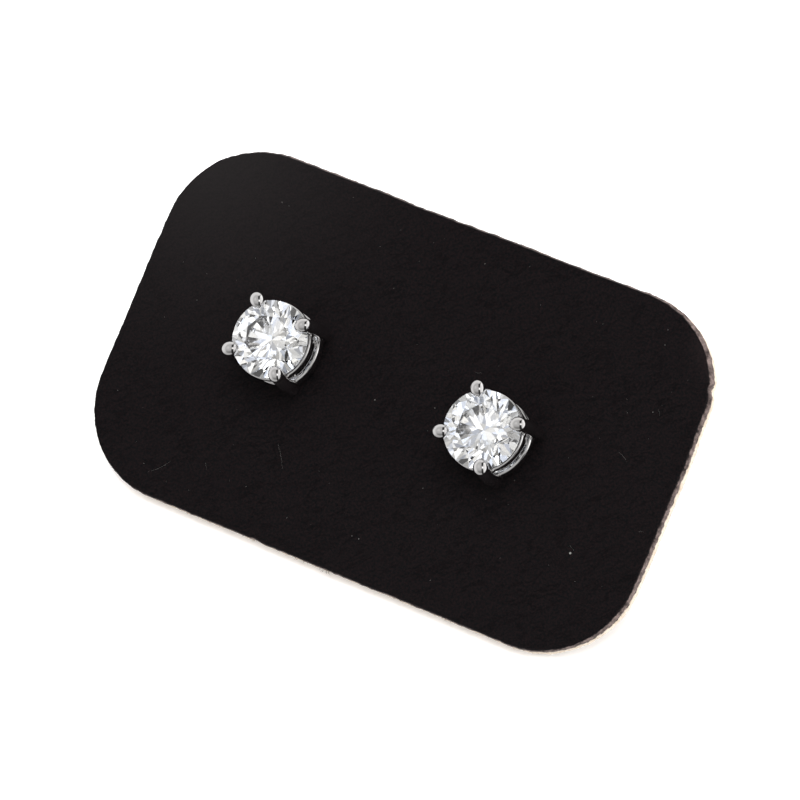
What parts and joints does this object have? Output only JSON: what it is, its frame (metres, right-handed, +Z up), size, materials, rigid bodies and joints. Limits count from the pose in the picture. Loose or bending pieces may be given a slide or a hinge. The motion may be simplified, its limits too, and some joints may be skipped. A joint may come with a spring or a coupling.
{
  "type": "pair of stud earrings on a leather display card",
  "caption": "Prong-set stud earrings with round brilliant stones, pinned through a round-cornered black leather card that leans back on the posts.",
  "frame": {"origin": "centre of the part's bounding box, on the surface that the card stands on", "axes": "+X along the card's long edge, +Z up, -Y towards the viewer in front of the leaning card"},
  "size_m": [0.0384, 0.02, 0.0151],
  "materials": {
    "black_leather": "matt black grained face with pale raw cut edge and suede back",
    "white_metal": "mirror polished white precious metal",
    "clear_stone": "clear faceted and polished",
    "clutch_metal": "polished white metal"
  },
  "bodies": {
    "root": {"display_card": "black_leather", "setting_left": "white_metal", "setting_right": "white_metal", "stone_left": "clear_stone", "stone_right": "clear_stone", "clutch_left": "clutch_metal", "clutch_right": "clutch_metal"}
  },
  "joints": []
}
